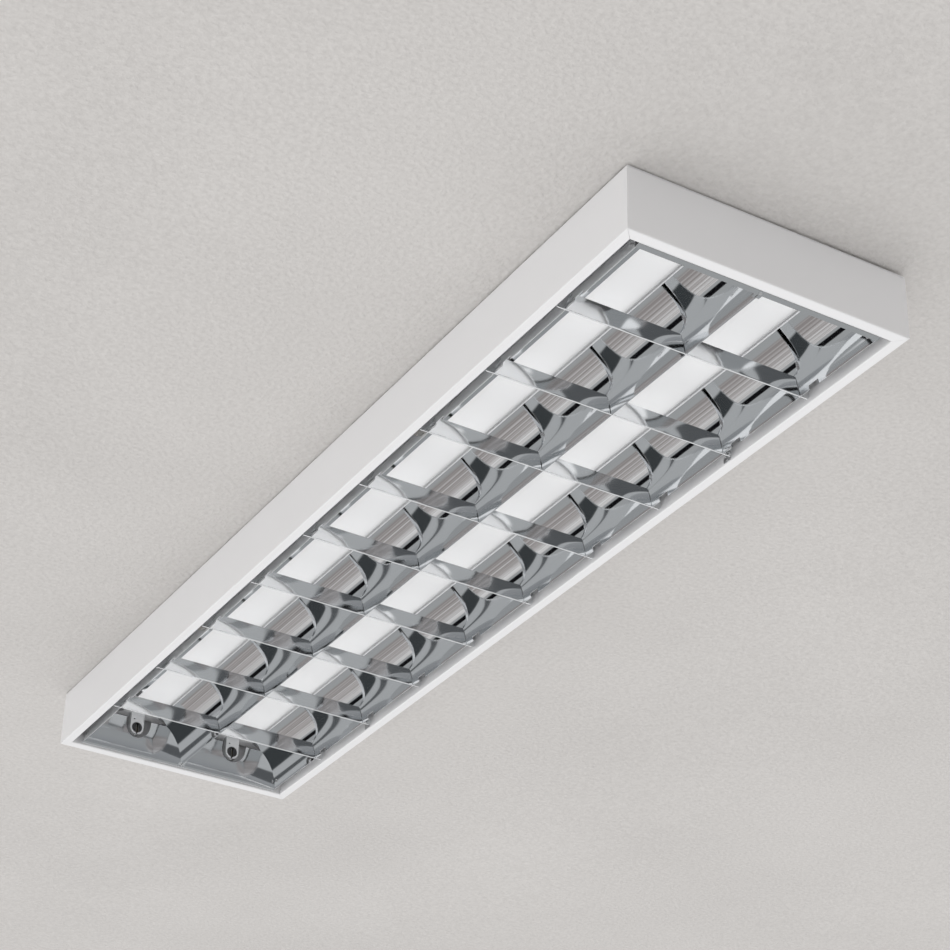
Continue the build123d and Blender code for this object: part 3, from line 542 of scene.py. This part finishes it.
def make_end_reflector(name, sign):
    """Rows of eight columns: outer edges, both edges of each lamp slot, and the trough's room."""
    level = end_heights
    below = np.maximum(slot_centre - level, 0)
    slot = np.sqrt(np.clip(slot_radius ** 2 - below ** 2, 0, None))
    outer = lamp_middle + wall_out(level) + 2 * sheet
    room = np.full_like(level, trough_room)
    half = np.stack([room, lamp_middle - slot, lamp_middle + slot, outer], axis=1)
    across = np.concatenate([-half[:, ::-1], half], axis=1)
    along = end_foot - end_lean * (level - low_edge) / (end_top - low_edge)
    high = rim_plane + level[:, None]
    points = np.stack(np.broadcast_arrays(sign * along[:, None], across, high), axis=-1)
    keep = np.ones((len(level), across.shape[1] - 1), bool)
    slots, room_strip = [1, 5], 3
    keep[1:, slots] = (level[1:] <= slot_centre - slot_radius + tolerance)[:, None]
    keep[1:, room_strip] = level[1:] <= trough_low + tolerance
    foot = points[:1].copy()
    foot[..., 0] += sign * flange
    points = np.concatenate([foot, points])
    if sign > 0:
        points, keep = points[:, ::-1], keep[:, ::-1]
    return sheet_mesh(name, [(points, keep)], sheet)


end_reflectors = {name: make_end_reflector(name, sign) for name, sign in
                  (("end_mirror_near", 1), ("end_mirror_far", -1))}
print("end reflector rows", len(end_heights) + 1)

# %% [markdown]
# The cross blades are sheets folded to a narrow V, hollow on both faces, across both columns.
# The fold is a small round bead, x = r sin(a) and z = r cos(a), which catches the light.
# Each is notched from above for the spine, and a lug behind each side reflector locks it.

# %% Cross blades
blade_sheet = 0.4
blade_left = -135.2
blade_right = 136.6
corner_cut = 2.7
lug_length = 12.0
lug_low = 4.0
lug_high = 9.0
lug_rows = 5
back_gap = (sheet + clearance) * 1.2
bead = 0.7
bead_turn = np.radians(np.linspace(180.0, 44.0, 9))
bead_heights = low_edge + bead + bead * np.cos(bead_turn)
face_heights = heights((bead_heights[-1], 3), (low_edge + corner_cut, 5), (lock_height, 7),
                       (blade_top, 0))
blade_heights = np.concatenate([bead_heights[:-1], face_heights])
blade_halves = np.concatenate([bead * np.sin(bead_turn[:-1]), blade_half(face_heights)])


def lug(middle, side):
    """Strip behind a side reflector's back, from the blade's face along the light."""
    level = np.linspace(lug_low, lug_high, lug_rows)[:, None]
    along = middle + np.array([[blade_tip, lug_length + blade_tip]])
    out = lamp_middle + wall_out(level) + back_gap
    points = np.stack(np.broadcast_arrays(along, side * out, rim_plane + level), axis=-1)
    return (points if side < 0 else points[:, ::-1]), np.ones((lug_rows - 1, 1), bool)


def make_blade(number, middle):
    """Rows down one face and up the other; columns at the ends, the lamps and the notch's edges."""
    rows = np.concatenate([blade_heights[::-1], blade_heights[1:]])
    halves = np.concatenate([-blade_halves[::-1], blade_halves[1:]])
    notch = lamp_middle - wall_out(np.maximum(rows, lock_height)) + clearance
    right = blade_right - np.clip(low_edge + corner_cut - rows, 0, None)
    left = np.full_like(rows, blade_left)
    lamp = np.full_like(rows, lamp_middle)
    across = np.stack([left, -lamp, -notch, notch, lamp, right], axis=1)
    along = (middle + halves)[:, None]
    points = np.stack(np.broadcast_arrays(along, across, rim_plane + rows[:, None]), axis=-1)
    keep = np.ones((len(rows) - 1, across.shape[1] - 1), bool)
    notch_strip = 2
    keep[:, notch_strip] = np.minimum(rows[1:], rows[:-1]) < lock_height - tolerance
    parts = [(points, keep), lug(middle, -1), lug(middle, 1)]
    return sheet_mesh(f"blade_mirror_{number}", parts, blade_sheet)


blades = {number: make_blade(number, middle)
          for number, middle in zip(blade_numbers, blade_places)}
print("blades", len(blades))

# %% [markdown]
# Mirror aluminium is rolled, so it carries very faint lines along the sheet and a trace of haze.
# A fully smooth mirror would look like glass, and a deep bump would break up its reflections.

# %% Mirror finishes
def shade(colour, factor=1.0):
    """Colour made darker or lighter by a factor, at most white, with an alpha of 1."""
    return tuple(min(1.0, v * factor) for v in colour) + (1.0,)


def mirror_finish(name, colour, roughness, lines, matt_outside=False):
    """Polished aluminium with faint rolling lines along X or Y, and perhaps a matt outer side."""
    material, g = new_finish(name)
    rolled = g.noise(260.0, 3.0, lines)
    waves = g.noise(9.0, 1.0)
    tone = g.mix(rolled, shade(colour, 0.965), shade(colour))
    haze = rolled * (roughness * 0.5) + roughness * 0.75
    metallic = 1.0
    if matt_outside:
        vectors = [g.add("ShaderNodeTexCoord", output=kind) for kind in ("Object", "Normal")]
        place, facing = (g.add("ShaderNodeSeparateXYZ", {}, {0: v}, "Y") for v in vectors)
        outside = g.smooth(place * facing, 0.0, 0.01)
        haze = haze * (1.0 - outside) + outside * 0.4
        metallic = 1.0 - outside * 0.5
    inputs = {"Height": rolled * 0.04 + waves, "Strength": 0.15, "Distance": 0.0004}
    relief = g.add("ShaderNodeBump", {}, inputs)
    inputs = {"Base Color": tone, "Metallic": metallic, "Roughness": haze, "Normal": relief}
    g.show(g.add("ShaderNodeBsdfPrincipled", {}, inputs))
    return material


along_x = (0.02, 1.0, 1.0)
along_y = (1.0, 0.02, 1.0)
mirror = mirror_finish("bright_mirror", (0.88, 0.89, 0.90), 0.05, along_x)
side_mirror = mirror_finish("side_mirror", (0.88, 0.89, 0.90), 0.05, along_x, matt_outside=True)
blade_mirror = mirror_finish("blade_mirror", (0.86, 0.87, 0.88), 0.07, along_y)


def dress(thing, node, finish):
    """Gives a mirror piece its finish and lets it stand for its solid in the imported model."""
    thing.data.materials.append(finish)
    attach(thing, "louvre")
    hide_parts(node)


for name, thing in side_reflectors.items():
    dress(thing, name.replace("mirror", "reflector"), side_mirror)
for name, thing in end_reflectors.items():
    dress(thing, name.replace("mirror", "reflector"), mirror)
dress(spine, "spine_reflector", mirror)
for number, thing in blades.items():
    dress(thing, f"cross_blade_{number}", blade_mirror)
print("mirror pieces", len(side_reflectors) + len(end_reflectors) + 1 + len(blades))

# %% [markdown]
# The tray's white is set lighter than the housing's: painted light for the inside of the louvre,
# which the mirrors light.
# The housing and the tray are powder coated: a soft sheen with a very fine orange peel.
# Small parts are zinc plated steel, spring steel, aluminium, brass, rubber and plastic.

# %% Paint, plastic and metal
def coated(name, colour, roughness, peel, depth):
    """Matt or satin skin: faint clouds in tone and sheen, and a fine bump."""
    material, g = new_finish(name)
    clouds = g.noise(14.0, 3.0)
    tone = g.mix(clouds, shade(colour, 0.985), shade(colour, 1.01))
    sheen = clouds * 0.08 + (roughness - 0.04)
    inputs = {"Height": g.noise(peel, 2.0), "Strength": 0.2, "Distance": depth}
    relief = g.add("ShaderNodeBump", {}, inputs)
    inputs = {"Base Color": tone, "Roughness": sheen, "Normal": relief}
    g.show(g.add("ShaderNodeBsdfPrincipled", {}, inputs))
    return material


def metal(name, colour, roughness, grain):
    """Plain metal with a mottled sheen."""
    material, g = new_finish(name)
    mottle = g.noise(grain, 4.0)
    tone = g.mix(mottle, shade(colour, 0.85), shade(colour))
    sheen = mottle * 0.2 + (roughness - 0.1)
    relief = g.add("ShaderNodeBump", {}, {"Height": mottle, "Strength": 0.1, "Distance": 0.0001})
    inputs = {"Base Color": tone, "Metallic": 1.0, "Roughness": sheen, "Normal": relief}
    g.show(g.add("ShaderNodeBsdfPrincipled", {}, inputs))
    return material


finishes = {
    "housing_paint": coated("housing_paint", (0.82, 0.82, 0.83), 0.42, 900.0, 0.00008),
    # Painted light: the tray is the same white paint as the housing, set lighter to stand in for the
    # light that the mirrors bring inside.
    "tray_paint": coated("tray_paint", (0.94, 0.945, 0.955), 0.45, 900.0, 0.00008),
    "bush_rubber": coated("bush_rubber", (0.03, 0.03, 0.03), 0.7, 2000.0, 0.00005),
    "terminal_plastic": coated("terminal_plastic", (0.72, 0.71, 0.68), 0.5, 1500.0, 0.00003),
    "holder_plastic": coated("holder_plastic", (0.62, 0.63, 0.64), 0.38, 1500.0, 0.00003),
    "rotor_plastic": coated("rotor_plastic", (0.018, 0.018, 0.02), 0.35, 1500.0, 0.00003),
    "zinc_steel": metal("zinc_steel", (0.62, 0.63, 0.64), 0.35, 500.0),
    "spring_steel": metal("spring_steel", (0.50, 0.49, 0.47), 0.3, 700.0),
    "rivet_metal": metal("rivet_metal", (0.74, 0.74, 0.75), 0.35, 900.0),
    "ballast_case": metal("ballast_case", (0.60, 0.62, 0.64), 0.4, 120.0),
    "contact_brass": metal("contact_brass", (0.78, 0.60, 0.30), 0.3, 900.0),
    "mirror_sheet": mirror,
    "blade_sheet": blade_mirror,
}
slot_of = {row["node"]: row["material_slot"] for row in frame["record"]["subparts"]}
for node, thing in frame["nodes"].items():
    if not thing.material_slots:
        thing.data.materials.append(None)
    for place in thing.material_slots:
        place.material = finishes[slot_of[node]]
print("finished nodes", len(frame["nodes"]))
